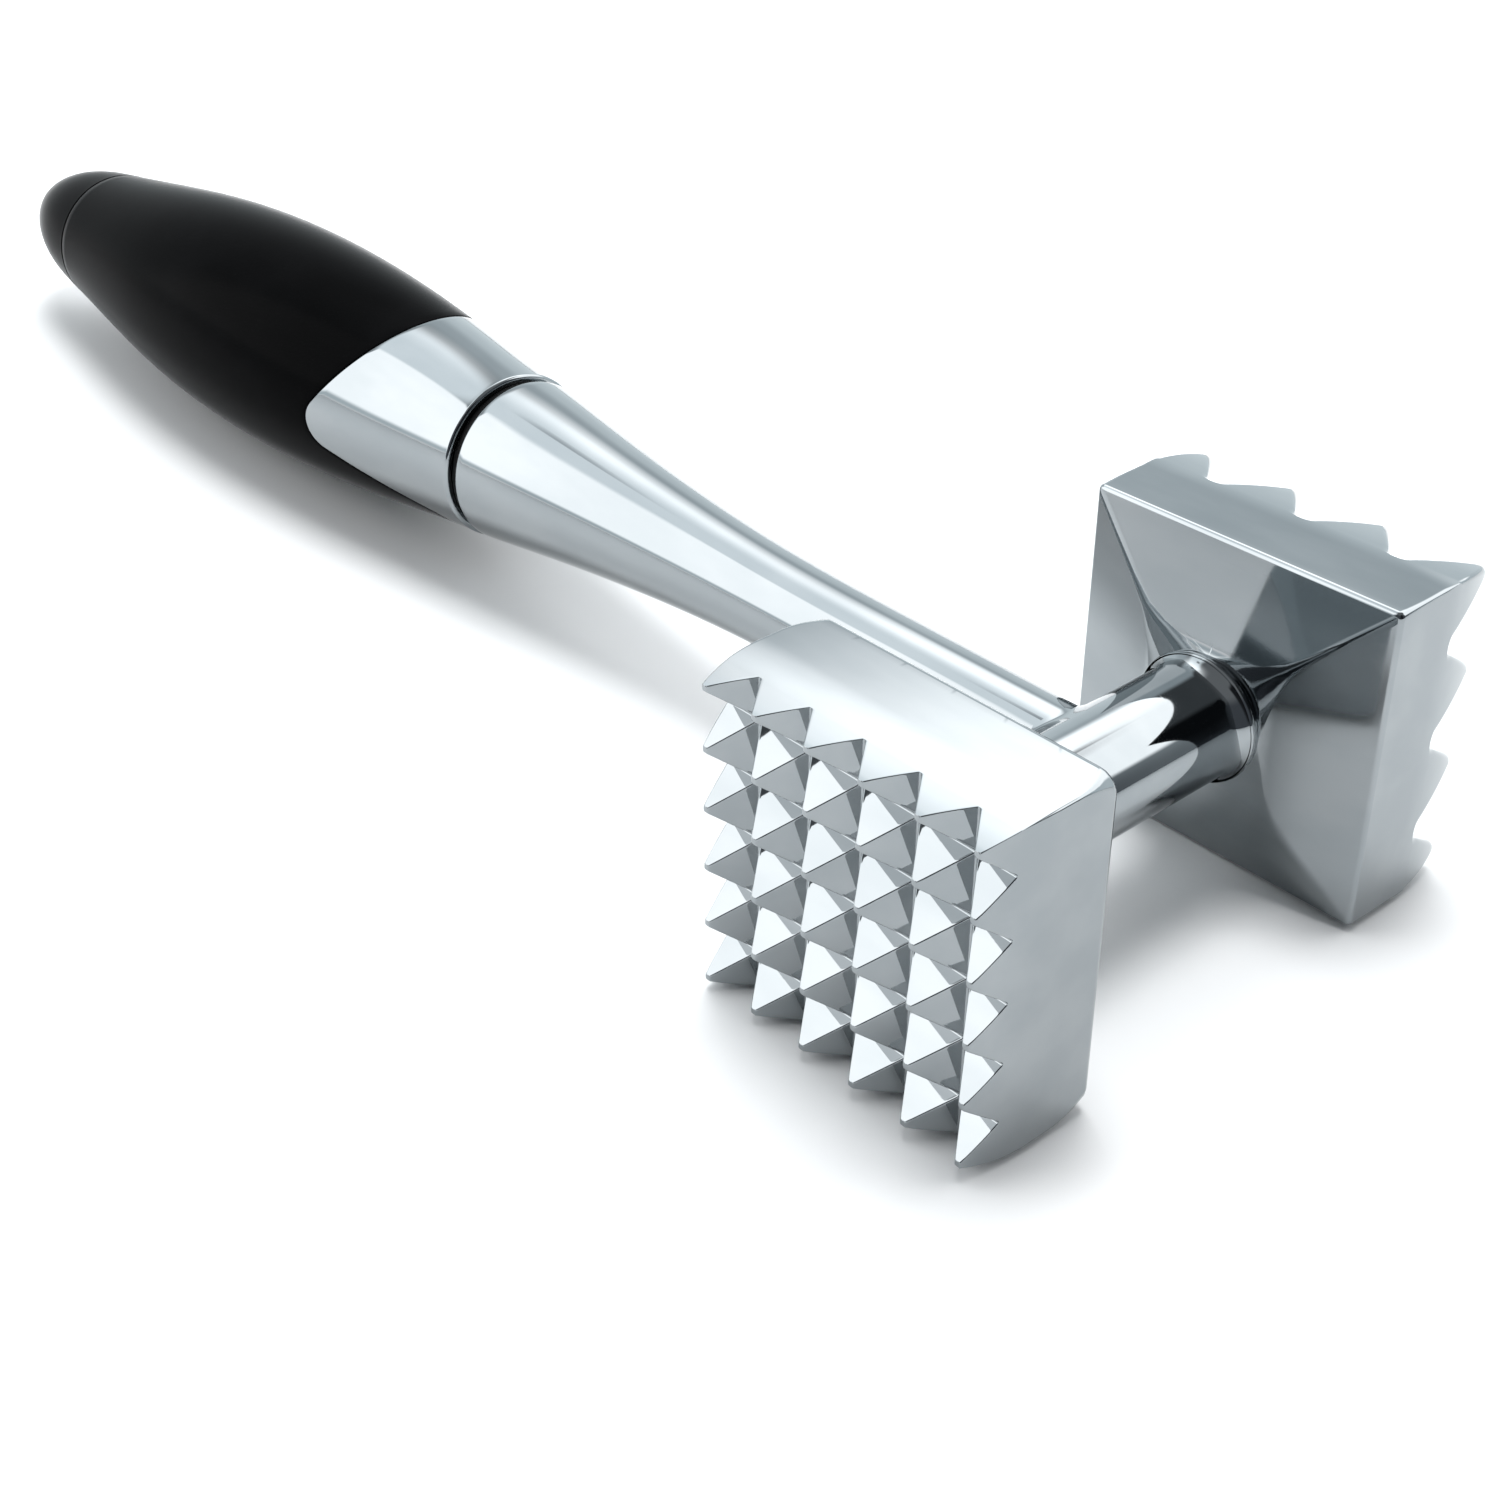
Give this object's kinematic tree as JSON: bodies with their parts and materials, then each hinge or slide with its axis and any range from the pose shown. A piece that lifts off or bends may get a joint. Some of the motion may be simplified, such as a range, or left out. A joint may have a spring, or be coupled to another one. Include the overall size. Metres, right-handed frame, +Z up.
{
  "type": "meat mallet",
  "caption": "Two-sided meat mallet: square chrome head blocks with fine and coarse pyramid teeth on a round neck, flared chrome stem, tongued ferrule and black swelling grip.",
  "frame": {"origin": "middle of the tool's length and width, on the plane of the head blocks' undersides as the mallet lies on its side", "axes": "+X along the handle towards the head, +Y along the head towards the coarse teeth, +Z up"},
  "size_m": [0.298, 0.0874, 0.045],
  "materials": {
    "head_chrome": "bright plated casting, mirror with a faint cast ripple",
    "handle_chrome": "bright plated, mirror",
    "plated_steel": "zinc plated",
    "seal_rubber": "matte",
    "grip_black": "smooth satin",
    "core_plastic": "moulded, matte"
  },
  "bodies": {
    "root": {"fine_tooth_block": "head_chrome", "coarse_tooth_block": "head_chrome", "cross_neck": "head_chrome", "stem": "handle_chrome", "ferrule": "handle_chrome", "seal_ring": "seal_rubber", "grip_sleeve": "grip_black", "end_cap": "grip_black", "grip_core": "core_plastic", "tie_stud": "plated_steel", "tang_rod": "plated_steel", "tang_washer": "plated_steel", "tang_nut": "plated_steel"}
  },
  "joints": []
}
